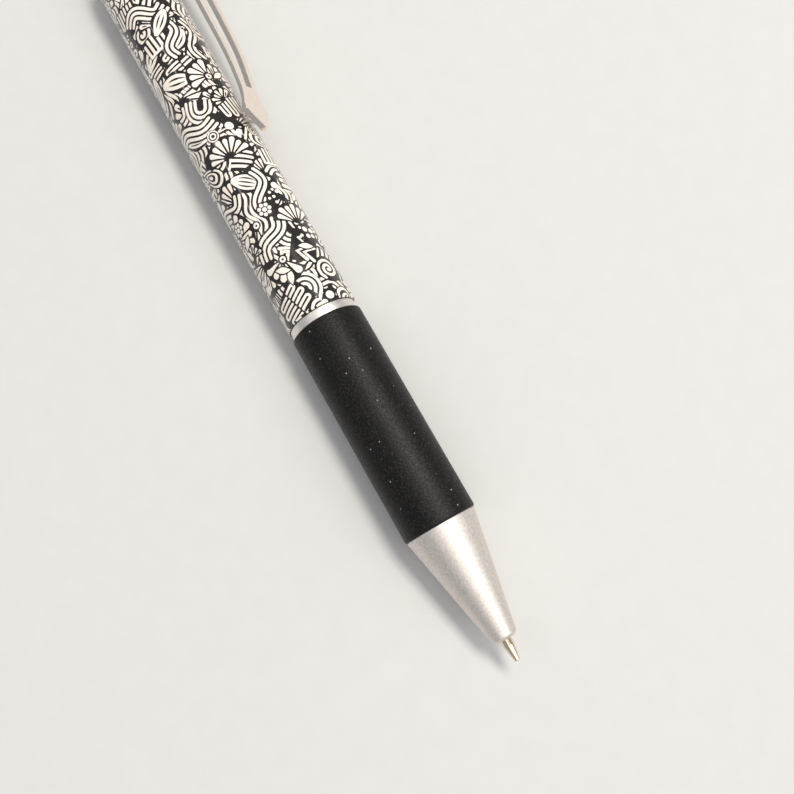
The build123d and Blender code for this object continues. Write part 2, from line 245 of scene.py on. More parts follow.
def satin_metal(name, tint, grain=0.24, low=0.38, high=0.48):
    """Blasted and plated metal: a fine sparkling grain, softly uneven gloss."""
    shader = Shader(name, Metallic=1.0)
    dark = tuple(0.80 * channel for channel in tint)
    shader.colour(shader.noise(grain, 4.0), (0.36, dark), (0.62, tint))
    shader.roughness(shader.noise(0.5), low, high)
    fine = shader.bump(shader.noise(grain, 2.0), 0.006, 0.55)
    shader.bump(shader.noise(2.5), 0.01, 0.12, fine)
    return shader.material


def polished_metal(name, tint, low=0.10, high=0.2):
    """Polished plating with faint rubbing marks along the pen."""
    shader = Shader(name, Metallic=1.0)
    dark = tuple(0.93 * channel for channel in tint)
    rubbed = shader.stretched((0.12, 1, 1))
    shader.colour(shader.noise(0.6), (0.35, dark), (0.65, tint))
    shader.roughness(shader.noise(0.12, 4.0, rubbed), low, high)
    shader.bump(shader.noise(0.15, 3.0, rubbed), 0.002, 0.35)
    return shader.material


def grip_rubber(name):
    """Matte black rubber: a close pebbled grain, greyer where it is rubbed, a little dust."""
    shader = Shader(name, Specular_IOR_Level=0.25)
    grain = shader.noise(0.30, 5.0, roughness=0.7)
    black, worn, grey = (0.0015, 0.0015, 0.0015), (0.004, 0.004, 0.0036), (0.03, 0.027, 0.022)
    rubbed = shader.ramp(grain, (0.44, black), (0.54, worn), (0.64, grey))
    dust = shader.ramp(shader.speckle(1.9), (0.045, 1.0), (0.060, 0.0))
    mix = shader.tree.nodes.new("ShaderNodeMix")
    mix.data_type = "RGBA"
    mix.inputs["B"].default_value = (0.42, 0.40, 0.36, 1)
    shader.link(dust, mix.inputs["Factor"])
    shader.link(rubbed, mix.inputs["A"])
    shader.link(mix.outputs["Result"], shader.bsdf.inputs["Base Color"])
    shader.roughness(shader.noise(0.35, 4.0), 0.34, 0.58)
    fine = shader.bump(shader.noise(0.26, 3.0, roughness=0.65), 0.06, 1.0)
    shader.bump(shader.noise(0.9), 0.02, 0.25, fine)
    return shader.material


def lacquer(name, low, high, roughness, coat):
    """Glossy clear lacquer over black plastic or cream ink."""
    shader = Shader(
        name, Specular_IOR_Level=0.2, Coat_Weight=coat, Coat_Roughness=0.05, Coat_IOR=1.42
    )
    shader.colour(shader.noise(0.8, 4.0), (0.3, low), (0.7, high))
    shader.roughness(shader.noise(0.5), *roughness)
    shader.bump(shader.noise(3.0), 0.01, 0.15)
    return shader.material


def moulded_plastic(name, tint, roughness=(0.35, 0.5), clear=0.0):
    """Moulded plastic, wet ink or grease: even, with a faint mottle."""
    shader = Shader(name, Transmission_Weight=clear)
    dark = tuple(0.8 * channel for channel in tint)
    shader.colour(shader.noise(1.2), (0.35, dark), (0.65, tint))
    shader.roughness(shader.noise(0.6), *roughness)
    shader.bump(shader.noise(0.25), 0.008, 0.3)
    return shader.material


def make_materials():
    """Every material of the record's slots, and the barrel's second ink, by name."""
    table = {
        grip_rubber: {"grip_rubber": ()},
        satin_metal: {
            "nose_metal": ((0.82, 0.765, 0.715), 0.26, 0.50, 0.60),
            "ring_metal": ((0.92, 0.885, 0.84), 0.12),
            "cap_metal": ((0.90, 0.865, 0.82),),
            "button_metal": ((0.90, 0.865, 0.82), 0.18),
        },
        polished_metal: {
            "clip_steel": ((0.96, 0.86, 0.77),),
            "spring_steel": ((0.66, 0.66, 0.67), 0.2, 0.3),
            "ball_carbide": ((0.45, 0.45, 0.47), 0.12, 0.2),
            "tip_alloy": ((0.86, 0.72, 0.55), 0.12, 0.22),
        },
        lacquer: {
            "barrel_lacquer": ((0.01, 0.009, 0.008), (0.022, 0.018, 0.017), (0.22, 0.32), 1.0),
            "barrel_ink": ((0.87, 0.79, 0.70), (0.93, 0.87, 0.79), (0.35, 0.5), 0.9),
        },
        moulded_plastic: {
            "core_plastic": ((0.03, 0.03, 0.03),),
            "guide_plastic": ((0.55, 0.55, 0.53),),
            "cam_plastic": ((0.80, 0.80, 0.78), (0.22, 0.32)),
            "holder_plastic": ((0.75, 0.75, 0.73), (0.2, 0.3)),
            "tube_plastic": ((0.86, 0.87, 0.87), (0.12, 0.2), 0.6),
            "ink": ((0.010, 0.010, 0.012), (0.08, 0.14)),
            "follower_grease": ((0.83, 0.82, 0.70), (0.1, 0.2), 0.3),
        },
    }
    groups = table.items()
    return {name: make(name, *look) for make, group in groups for name, look in group.items()}


MATERIALS = make_materials()
NODE_SLOTS = {part["node"]: part["material_slot"] for part in frame["record"]["subparts"]}

for cad_node, cad_slot in NODE_SLOTS.items():
    cad_mesh = frame["nodes"][cad_node].data
    cad_mesh.materials.clear()
    cad_mesh.materials.append(MATERIALS[cad_slot])


# ---- turned pieces ----


def place_piece(name, mesh, node, body):
    """A finished mesh takes the place of a CAD node and rides on its body."""
    piece = new_object(name, mesh)
    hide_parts(node)
    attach(piece, body)


def rounded(outline, radii):
    """A closed outline of (x, r) points, rounded at the corners that have a radius."""
    result = []
    count = len(outline)
    for index, point in enumerate(outline):
        radius = radii.get(index, 0)
        here = Vector(point)
        if not radius:
            result.append(here)
            continue
        before = (Vector(outline[index - 1]) - here).normalized()
        after = (Vector(outline[(index + 1) % count]) - here).normalized()
        half = before.angle(after) / 2
        reach = radius / tan(half)
        centre = here + (before + after).normalized() * radius / sin(half)
        first = here + before * reach - centre
        last = here + after * reach - centre
        turn = first.angle_signed(last)
        for step in range(CORNER_STEPS + 1):
            result.append(centre + Matrix.Rotation(-turn * step / CORNER_STEPS, 2) @ first)
    return result


def lathe(name, outline, material, segments):
    """A closed (x, r) outline turned about the X axis, smooth except at sharp corners."""
    mesh = bmesh.new()
    rings = []
    for x, radius in outline:
        ring = []
        for step in range(segments):
            angle = 2 * pi * step / segments
            ring.append(mesh.verts.new((x, radius * cos(angle), radius * sin(angle))))
        rings.append(ring)
    for index, ring in enumerate(rings):
        following = rings[(index + 1) % len(rings)]
        for step in range(segments):
            other = (step + 1) % segments
            mesh.faces.new((ring[step], ring[other], following[other], following[step]))
    bmesh.ops.remove_doubles(mesh, verts=mesh.verts, dist=1e-7)
    bmesh.ops.recalc_face_normals(mesh, faces=mesh.faces)
    return finish_mesh(name, mesh, material)


def finish_mesh(name, mesh, material, sharp_degrees=SHARP):
    """Turn a bmesh into mesh data with smooth faces and sharp creases."""
    for edge in mesh.edges:
        if len(edge.link_faces) == 2 and edge.calc_face_angle(0) > radians(sharp_degrees):
            edge.smooth = False
    for face in mesh.faces:
        face.smooth = True
    data = bpy.data.meshes.new(name)
    mesh.to_mesh(data)
    mesh.free()
    data.materials.append(material)
    return data


# ---- clip ----


def smooth_at(table, place):
    """A smooth curve through (place, value) pairs, read at one place."""
    last = len(table) - 1
    k = next((n for n in range(last) if place <= table[n + 1][0]), last - 1)
    (x0, y0), (x1, y1) = table[k], table[k + 1]

    def slope(n):
        before, after = table[max(n - 1, 0)], table[min(n + 1, last)]
        return (after[1] - before[1]) / (after[0] - before[0])

    share = min(max((place - x0) / (x1 - x0), 0), 1)
    span = x1 - x0
    square, cube = share * share, share**3
    return (
        y0 * (2 * cube - 3 * square + 1)
        + span * slope(k) * (cube - 2 * square + share)
        + y1 * (3 * square - 2 * cube)
        + span * slope(k + 1) * (cube - square)
    )


# The clip, in millimetres: (distance from its tip, value) pairs. First its outer face's
# distance from the pen's axis, then its half width and how far its edges turn down.
CLIP_LINE = [
    (0, 8.56), (0.5, 8.63), (2.0, 8.65), (4.4, 8.66), (5.4, 8.88), (8.8, 9.6), (13.5, 10.35),
    (18.8, 10.72), (29.8, 11.1), (38.1, 10.95),
]
CLIP_HALF = [
    (0, 0.12), (0.05, 0.3), (0.15, 0.48), (0.35, 0.7), (0.65, 0.93), (1.0, 1.16), (1.7, 1.66),
    (2.5, 2.22), (3.1, 2.6), (3.6, 2.76), (4.0, 2.74), (4.6, 2.58), (5.6, 2.24), (7.0, 1.90),
    (10.0, 2.02), (15.8, 2.45), (22.0, 2.62), (34.0, 2.85), (40.7, 3.0),
]
RIM_DEPTH = [(0, 0.92), (3.2, 0.92), (4.6, 0.70), (33.0, 0.70), (38.1, 0.30)]
LIP_DEPTH = 0.95  # of the slot's turned-down edges
CROWN = 0.10  # the face's fall from its middle to its edges
SHEET = 0.45  # thickness
ARM = 38.1  # where the bend starts
BEND_REACH, BEND_DROP, BEND_FOOT = 2.6, 2.2, 8.75
LEG_END, LEG = 40.7, (7.8, 6.6, 5.3)  # its place along the pen and its rows' radii
SLOT = (7.6, 34.8)  # start and end
SLOT_COLUMNS = (3, 7)  # the columns of vertices that border the slot
NO_SLOT = 0.43  # where those columns lie in the leaf, as a share of its half width
RAIL = 1.12  # width of the arm on each side of the slot
NEAR = 0.01
# The narrow tab under the leaf
FOOT_LINE = [
    (0.45, 7.95), (1.2, 7.5), (2.2, 6.85), (2.9, 6.42), (3.4, 6.3), (3.9, 6.4), (4.6, 6.8),
    (5.3, 7.3),
]
FOOT_START, FOOT_LENGTH, FOOT_ROWS, FOOT_SHEET = 0.45, 4.85, 28, 0.35
CLIP_LIFT = radians(30)
CLIP_OUT = Vector((0, -cos(CLIP_LIFT), sin(CLIP_LIFT)))
CLIP_UP = Vector((0, sin(CLIP_LIFT), cos(CLIP_LIFT)))
CLIP_TIP = node_x("clip")[0] / MM


def clip_vert(mesh, x, radius, width):
    """A vertex on the clip: along the pen, out from its axis and across."""
    place = Vector((x, 0, 0)) + CLIP_OUT * radius + CLIP_UP * width
    return mesh.verts.new(place * MM)


def bridge(mesh, first, second, columns):
    """Faces between two rows of vertices, at these columns."""
    for k in columns:
        mesh.faces.new((first[k], first[k + 1], second[k + 1], second[k]))


def face_out(mesh, sign):
    """Make all faces look away from the pen for 1, or towards it for -1."""
    bmesh.ops.recalc_face_normals(mesh, faces=mesh.faces)
    if sign * sum(face.normal.dot(CLIP_OUT) for face in mesh.faces) < 0:
        bmesh.ops.reverse_faces(mesh, faces=mesh.faces)


def clip_stations():
    """(distance, x, radius) along the arm, round the bend and down the leg."""
    arm = [0.0, 0.05, 0.15, 0.35, 0.65, 1.0, 1.35, 1.7, 2.1, 2.5, 2.8]
    arm += [3.1, 3.4, 3.6, 3.8, 4.0, 4.3, 4.6, 5.0, 5.6, 6.2, 7.0]
    arm += [SLOT[0] + (SLOT[1] - SLOT[0]) * k / 34 for k in range(35)]
    arm += [35.6, 36.6, 37.4, ARM]
    stations = [(d, CLIP_TIP + d, smooth_at(CLIP_LINE, d)) for d in arm]
    for k in range(1, 13):
        turn = pi / 2 * k / 12
        x = CLIP_TIP + ARM + BEND_REACH * sin(turn)
        stations.append((40.0, x, BEND_FOOT + BEND_DROP * cos(turn)))
    stations += [(LEG_END, CLIP_TIP + LEG_END, radius) for radius in LEG]
    return stations


def in_slot(distance):
    return SLOT[0] - NEAR < distance < SLOT[1] + NEAR


def clip_mesh():
    """The clip as bent sheet: pointed leaf with a turned-down rim, slotted arm, bend and leg."""
    mesh = bmesh.new()
    rows, reach = [], []
    for distance, x, radius in clip_stations():
        half = smooth_at(CLIP_HALF, distance)
        slot = half - RAIL if distance >= SLOT[0] - NEAR else half * NO_SLOT
        shares = [half, (2 * half + slot) / 3, (half + 2 * slot) / 3, slot, slot / 2, 0]
        across = [-w for w in shares] + shares[-2::-1]
        crowns = [CROWN * (w / max(half, 0.5)) ** 2 for w in across]
        rows.append([clip_vert(mesh, x, radius - c, w) for c, w in zip(crowns, across)])
        reach.append(distance)
    low, high = SLOT_COLUMNS
    whole, rails = range(10), [*range(low), *range(high, 10)]
    for near, far, first, second in zip(reach, reach[1:], rows, rows[1:]):
        bridge(mesh, first, second, rails if in_slot(near) and in_slot(far) else whole)
    where = {v: (d, k) for d, row in zip(reach, rows) for k, v in enumerate(row) if v.link_faces}
    loose = [v for v in mesh.verts if not v.link_faces]
    bmesh.ops.delete(mesh, geom=loose, context="VERTS")
    face_out(mesh, 1)
    slot_edges, rim_edges = [], []
    for edge in [e for e in mesh.edges if e.is_boundary]:
        places = [where[v] for v in edge.verts]
        if all(in_slot(d) and low <= k <= high for d, k in places):
            slot_edges.append(edge)
        elif all(d < ARM + 0.1 for d, _ in places):
            rim_edges.append(edge)
    lips = [(0, LIP_DEPTH), (SLOT[1], LIP_DEPTH)]
    for edges, line in ((slot_edges, lips), (rim_edges, RIM_DEPTH)):
        sources = {v.co.copy().freeze(): where[v][0] for e in edges for v in e.verts}
        made = bmesh.ops.extrude_edge_only(mesh, edges=edges)["geom"]
        for vert in (item for item in made if isinstance(item, bmesh.types.BMVert)):
            depth = smooth_at(line, sources[vert.co.copy().freeze()])
            vert.co -= CLIP_OUT * depth * MM
    return sheet_metal("clip_sheet", mesh, SHEET, 0.11)


def foot_mesh():
    """The narrow tab under the leaf that rests on the barrel."""
    mesh = bmesh.new()
    rows = []
    for k in range(FOOT_ROWS + 1):
        distance = FOOT_START + FOOT_LENGTH * k / FOOT_ROWS
        radius = smooth_at(FOOT_LINE, distance)
        half = min(1.1, 0.5 + distance * 0.5)
        x, shares = CLIP_TIP + distance, (-1, -0.5, 0, 0.5, 1)
        rows.append([clip_vert(mesh, x, radius, half * share) for share in shares])
    for first, second in zip(rows, rows[1:]):
        bridge(mesh, first, second, range(4))
    face_out(mesh, -1)
    return sheet_metal("clip_foot", mesh, FOOT_SHEET, 0.08)


def sheet_metal(name, mesh, thickness, edge_round):
    """Give a bent surface its thickness, inwards, and ease its edges."""
    data = bpy.data.meshes.new(name + "_surface")
    mesh.to_mesh(data)
    mesh.free()
    rough = new_object(name + "_surface", data)
    solid = rough.modifiers.new("thickness", "SOLIDIFY")
    solid.thickness = thickness * MM
    solid.offset = -1
    solid.use_even_offset = True
    ease = rough.modifiers.new("edges", "BEVEL")
    ease.width = edge_round * MM
    ease.segments = 3
    ease.limit_method = "ANGLE"
    ease.angle_limit = radians(40)
    ease.use_clamp_overlap = True
    graph = bpy.context.evaluated_depsgraph_get()
    finished = bpy.data.meshes.new_from_object(rough.evaluated_get(graph))
    bpy.data.objects.remove(rough)
    finished.name = name
    shaped = bmesh.new()
    shaped.from_mesh(finished)
    return finish_mesh(name, shaped, MATERIALS["clip_steel"], SHEET_SHARP)


# ---- barrel print ----
# Doodles drawn flat on the unrolled barrel: u runs around it, v along it, in millimetres.

BARREL_FRONT, BARREL_REAR = (place / MM for place in node_x("barrel"))
BARREL_R = node_radius("barrel") / MM
WRAP = 2 * pi * BARREL_R
LENGTH = BARREL_REAR - BARREL_FRONT
EDGE, EDGE_STEPS = 0.25, 4  # rounding at both ends, and its facets
SOCKET_R, BORE_R = 4.68, 5.0
SOCKET_END = BARREL_FRONT + 11.75
BORE_SEGMENTS = 96
BLACK, CREAM = 0, 1
STRIPS = 112  # flat strips along the barrel that make up its round
CELLS = 7  # grid cells across each strip
COLUMNS = STRIPS * CELLS
ROWS = 1400  # grid cells along the barrel
FINE = 2  # painted samples per cell each way
TOLERANCE = 0.006  # of a border's line, in millimetres
SEED = 41
SPACING = 2.4  # least distance between the middles of two large motifs
SMALL_MOTIFS = 46
LANE = 0.92  # pitch of the wavy ground lines
BAG = (
    ["fan"] * 6 + ["nested"] * 2 + ["pebbles"] * 2 + ["ribbon"] * 3
    + ["zigzag", "arches", "loops", "comb", "chevrons"]
    + ["striped_leaf"] * 2 + ["lobes"] * 2 + ["spiral"]
)
# Sizes of the plainer motifs. One is drawn between the two of a pair or from those of a list.
SIZES = {
    "arches": ((4.4, 5.4), 3, (0.8, 2.0)),
    "chevrons": (4, 1.0, 2.2, 1.5),
    "comb": (5, 0.92, (2.8, 3.6)),
    "lobes": (3, 1.5, (2.8, 3.6)),
    "loops": (4, 1.15, (2.8, 3.6)),
    "pebbles": (5.0, 2.8),
    "ribbon": ((6.0, 8.5), (0.7, 1.3), [2, 3]),
    "spiral": (2.1, 2.0),
    "striped_leaf": ((4.8, 6.2), (2.2, 3.0), [3, 4]),
    "zigzag": (4, 1.2, 1.7, 2),
}


def away(at, reach, angle):
    """The place at a distance and angle from another."""
    return at[0] + reach * cos(angle), at[1] + reach * sin(angle)


def placed(points, at, turn):
    """Points turned about the origin, then moved."""
    cosine, sine = cos(turn), sin(turn)
    return [
        (at[0] + x * cosine - y * sine, at[1] + x * sine + y * cosine) for x, y in points
    ]


def bow(middle, half, foot, steps, rise=None):
    """A half circle from left to right over a foot line, or a half ellipse of another rise."""
    rise = half if rise is None else rise
    angles = [pi * k / steps for k in range(steps + 1)]
    return [(middle - half * cos(a), foot + rise * sin(a)) for a in angles]


class Doodles:
    """Flat shapes with a paint order: the last one drawn over a spot is the one that shows."""

    def __init__(self):
        self.random = random.Random(SEED)
        self.shapes = []

    def polygon(self, points, ink):
        self.shapes.append((ink, points))

    def ground(self, points, at, turn):
        """The black patch that a motif stands on."""
        self.polygon(placed(points, at, turn), BLACK)

    def block(self, left, low, right, high, at, turn):
        self.ground([(left, low), (right, low), (right, high), (left, high)], at, turn)

    def disc(self, at, radius, ink, count=14):
        step = 2 * pi / count
        self.polygon([away(at, radius, k * step) for k in range(count)], ink)

    def mirrored(self, points, first, last, at, turn, ink):
        """The upper half of an outline and its mirror image, but for the points they share."""
        outline = points + [(x, -y) for x, y in reversed(points[first:last])]
        self.polygon(placed(outline, at, turn), ink)

    def petal(self, at, turn, length, width, ink):
        """A tapered petal from its root to its round end."""
        points = []
        for k in range(19):
            angle = pi * (k / 18 - 0.5)
            share = 0.5 + 0.5 * sin(angle)
            half = width / 2 * cos(angle) ** 0.8 * (0.42 + 0.58 * share**0.72)
            points.append((length * share, half))
        self.mirrored(points, 1, -1, at, turn, ink)

    def ray(self, at, turn, start, end, half_angle, gap=0.30):
        """A petal that widens away from a point, keeps an even gap to the next, and ends round."""
        slope = sin(half_angle)
        start = max(start, (gap / 2 + 0.05) / slope)
        cap = ((end * slope) - gap / 2) / (1 + slope)
        neck = end - cap
        points = [(start, start * slope - gap / 2), (neck, neck * slope - gap / 2)]
        for k in range(1, 7):
            angle = pi * k / 12
            points.append((neck + cap * sin(angle), cap * cos(angle)))
        self.mirrored(points, 0, -1, at, turn, CREAM)

    def leaf(self, at, turn, length, width, ink):
        """An almond with two sharp ends."""
        points = [(length * k / 12, width / 2 * sin(pi * k / 12)) for k in range(13)]
        self.mirrored(points, 1, -1, at, turn, ink)

    def stroke(self, points, width, ink):
        """A line of even width with round ends."""
        left, right = [], []
        last = len(points) - 1
        for k, (x, y) in enumerate(points):
            before, after = points[max(k - 1, 0)], points[min(k + 1, last)]
            dx, dy = after[0] - before[0], after[1] - before[1]
            size = hypot(dx, dy) or 1.0
            nx, ny = -dy / size * width / 2, dx / size * width / 2
            left.append((x + nx, y + ny))
            right.append((x - nx, y - ny))
        self.polygon(left + right[::-1], ink)
        for end in (points[0], points[-1]):
            self.disc(end, width / 2, ink, 10)

    # -- motifs, each on its own black ground --

    def fan(self, at, turn, radius, count, spread, core=True):
        """Petals that fan out from a point, some slit, with or without a ringed core."""
        steps = [-spread / 2 - 0.08 + (spread + 0.16) * k / 16 for k in range(17)]
        self.ground([(0, 0)] + [away((0, 0), radius + 0.28, a) for a in steps], at, turn)
        slit = self.random.random() < 0.5
        for k in range(count):
            angle = turn - spread / 2 + spread * (k + 0.5) / count
            reach = radius - (0.3 if k % 2 else 0.0)
            self.ray(at, angle, 0.85 if core else 0.2, reach, spread / count / 2)
            if slit and k % 2 == 0:
                self.petal(away(at, 0.55 * reach, angle), angle, reach * 0.3, 0.3, BLACK)
        if core:
            self.disc(at, 0.78, BLACK)
            self.disc(at, 0.52, CREAM)
            self.disc(at, 0.2, BLACK, 10)

    def rosette(self, at, radius, count):
        """A ring of dots round a larger one."""
        size = pi * radius / count * 0.86
        self.disc(at, radius + size + 0.2, BLACK, 24)
        self.disc(at, radius - size - 0.14, CREAM, 18)
        for k in range(count):
            self.disc(away(at, radius, 2 * pi * k / count), size, CREAM)

    def pebbles(self, at, turn, length, width):
        """A drift of dots of uneven size."""
        spine = placed([(0, 0), (length / 2, 0.35), (length, 0)], at, turn)
        self.stroke(spine, width + 0.35, BLACK)
        laid = []
        for _ in range(260):
            x = self.random.uniform(0, length)
            y = self.random.uniform(-width / 2, width / 2)
            size = self.random.uniform(0.24, 0.74)
            if all(hypot(x - a, y - b) > size + c + 0.14 for a, b, c in laid):
                laid.append((x, y, size))
        for x, y, size in laid:
            self.disc(placed([(x, y)], at, turn)[0], size, CREAM, 12)

    def nested(self, at, turn, length, width, rings):
        """Drops drawn one inside another."""
        for k in range(rings):
            shrink = 1 - k / rings
            root = away(at, length * 0.42 * (1 - shrink), turn)
            ink = BLACK if k % 2 else CREAM
            self.petal(root, turn, length * shrink + 0.1, width * shrink, ink)

    def arches(self, at, turn, width, bands, height):
        """Bowed bands over one another, open at the foot."""
        edge = width / 2 + 0.3
        top = bow(0, edge, height + 0.3, 16, width / 2)
        self.ground([(-edge, 0)] + top + [(edge, 0)], at, turn)
        for k in range(bands):
            half = width / 2 * (1 - k / bands)
            line = [(-half, 0.25)] + bow(0, half, height, 14) + [(half, 0.25)]
            self.stroke(placed(line, at, turn), 0.50, CREAM)

    def loops(self, at, turn, count, pitch, height):
        """A row of tall rounded loops, like stitches."""
        self.block(-0.3, -0.3, count * pitch + 0.1, height + 0.3, at, turn)
        for k in range(count):
            half = pitch / 2 - 0.16
            middle = k * pitch + pitch / 2 - 0.1
            top = bow(middle, half, height - half - 0.1, 10)
            outline = [(middle - half, 0)] + top + [(middle + half, 0)]
            self.polygon(placed(outline, at, turn), CREAM)
            if k % 2:
                slim = half * 0.36
                core = bow(middle, slim, height * 0.62, 8)
                self.ground([(middle - slim, 0)] + core + [(middle + slim, 0)], at, turn)

    def zigzag(self, at, turn, count, pitch, height, rows):
        """Zigzag lines over one another."""
        high = 2 * (height / 2 + rows * 0.55) - height / 2
        self.block(-0.4, -height / 2 - 0.4, count * pitch + 0.4, high, at, turn)
        for row in range(rows):
            ups = [height / 2 if k % 2 else -height / 2 for k in range(count + 1)]
            line = [(k * pitch, up + row * 1.1) for k, up in enumerate(ups)]
            self.stroke(placed(line, at, turn), 0.58, CREAM)

    def comb(self, at, turn, count, pitch, height):
        """A spine with parallel bars, the longest in the middle."""
        self.block(-0.35, -0.4, count * pitch, height + 0.3, at, turn)
        self.stroke(placed([(0, 0), (count * pitch - 0.35, 0)], at, turn), 0.48, CREAM)
        for k in range(count):
            reach = height * (0.72 + 0.28 * sin(pi * (k + 0.5) / count))
            x = k * pitch + 0.05
            self.stroke(placed([(x, 0.1), (x, reach)], at, turn), 0.52, CREAM)

    def chevrons(self, at, turn, count, pitch, half, bend):
        """Nested arrows, with a round bead at the last one's point."""
        arrow = [(-0.5, -half - 0.2), (count * pitch + bend, 0), (-0.5, half + 0.2)]
        self.ground(arrow, at, turn)
        for k in range(count):
            size = half * (1 - 0.62 * k / count)
            tip = k * pitch + bend * size / half
            line = [(k * pitch * 0.9, -size), (tip, 0), (k * pitch * 0.9, size)]
            self.stroke(placed(line, at, turn), 0.50, CREAM)
        bead = placed([(count * pitch + bend * 0.4, 0)], at, turn)[0]
        self.disc(bead, 0.36, CREAM, 12)

    def striped_leaf(self, at, turn, length, width, stripes):
        """A leaf of lengthwise stripes that meet at both ends."""
        self.leaf(away(at, -0.3, turn), turn, length + 0.6, width + 0.9, BLACK)
        for k in range(stripes):
            side = width * ((k + 0.5) / stripes - 0.5)
            line = [(length * n / 14, side * sin(pi * n / 14)) for n in range(1, 14)]
            self.stroke(placed(line, at, turn), width / stripes * 0.62, CREAM)

    def ribbon(self, at, turn, length, sway, lines):
        """Lines that flow side by side along one S-shaped path."""
        path = [
            (length * (n / 26 - 0.5), sway * sin(2 * pi * n / 26)) for n in range(27)
        ]
        self.stroke(placed(path, at, turn), lines * 0.86 + 0.3, BLACK)
        for k in range(lines):
            shift = 0.86 * (k - (lines - 1) / 2)
            line = []
            for n, (x, y) in enumerate(path):
                slope = sway * 2 * pi / length * cos(2 * pi * n / 26)
                size = hypot(1, slope)
                line.append((x - shift * slope / size, y + shift / size))
            self.stroke(placed(line, at, turn), 0.52, CREAM)

    def lobes(self, at, turn, count, pitch, height):
        """Open loops side by side, each drawn as one bent line."""
        self.block(-0.4, -0.3, count * pitch + 0.2, height + 0.5, at, turn)
        for k in range(count):
            half = pitch / 2 - 0.38
            middle = (k + 0.5) * pitch - 0.1
            reach = height * (0.78 + 0.22 * sin(pi * (k + 0.5) / count))
            top = bow(middle, half, reach - half, 10)
            line = [(middle - half, 0.1)] + top + [(middle + half, 0.1)]
            self.stroke(placed(line, at, turn), 0.42, CREAM)

    def spiral(self, at, turn, radius, turns):
        """A coil of even line, like a rolled fern."""
        self.disc(at, radius + 0.3, BLACK, 22)
        line = []
        for k in range(int(turns * 14) + 1):
            share = k / (turns * 14)
            angle = turn + 2 * pi * turns * share
            line.append(away(at, 0.15 + (radius - 0.3) * share, angle))
        for pair in zip(line, line[1:]):
            self.stroke(pair, 0.5, CREAM)

    def eye(self, at, radius):
        """Rings about a dark middle."""
        for share, ink in ((1.12, BLACK), (1.0, CREAM), (0.78, BLACK), (0.56, CREAM), (0.3, BLACK)):
            self.disc(at, radius * share, ink, 20)

    def drawn(self, size):
        """A size as it stands, or drawn between two, or from a list."""
        if isinstance(size, tuple):
            return self.random.uniform(*size)
        return self.random.choice(size) if isinstance(size, list) else size

    def large_motif(self, kind, spot, turn):
        if kind == "fan":
            radius, count, spread = map(self.drawn, ((3.4, 4.8), [5, 6, 7, 8], (1.7, 2.8)))
            self.fan(spot, turn, radius, count, spread, self.random.random() < 0.35)
        elif kind == "nested":
            self.petal(away(spot, -2.7, turn), turn, 5.5, 4.1, BLACK)
            self.nested(away(spot, -2.4, turn), turn, 4.9, 3.5, 5)
        else:
            getattr(self, kind)(spot, turn, *map(self.drawn, SIZES[kind]))

    def small_motif(self, spot):
        kind = self.random.random()
        if kind < 0.22:
            self.rosette(spot, 0.85, 7)
        elif kind < 0.36:
            self.eye(spot, self.random.uniform(0.7, 1.1))
        elif kind < 0.6:
            turn = self.random.uniform(0, 2 * pi)
            self.leaf(spot, turn, 3.2, 1.5, BLACK)
            self.leaf(away(spot, 0.3, turn), turn, 2.6, 1.0, CREAM)
        else:
            self.fan(spot, self.random.uniform(0, 2 * pi), 2.3, 4, 1.7, False)


def composition():
    """Large motifs as far apart as SPACING over the whole barrel, then small ones at random."""
    doodles = Doodles()
    pick = doodles.random
    spots = []

    def free_spot():
        for _ in range(400):
            u, v = pick.uniform(0, WRAP), pick.uniform(-1.0, LENGTH + 1.0)
            gaps = (hypot(min(abs(u - a), WRAP - abs(u - a)), v - b) for a, b in spots)
            if min(gaps, default=WRAP) > SPACING:
                return u, v
        return None

    # ground of wavy lines, which shows only between the motifs
    lanes = int(WRAP / LANE)
    for lane in range(lanes):
        base = lane * WRAP / lanes
        steps = range(int(LENGTH / 0.5) + 2)
        path = [(base + 0.55 * sin(k * 0.62 + 0.35 * lane), k * 0.5) for k in steps]
        doodles.stroke(path, 0.54, CREAM)
    bag = []
    while spot := free_spot():
        spots.append(spot)
        if not bag:
            bag = list(BAG)
            pick.shuffle(bag)
        doodles.large_motif(bag.pop(), spot, pick.uniform(0, 2 * pi))
    for _ in range(SMALL_MOTIFS):
        doodles.small_motif((pick.uniform(0, WRAP), pick.uniform(0, LENGTH)))
    return doodles.shapes


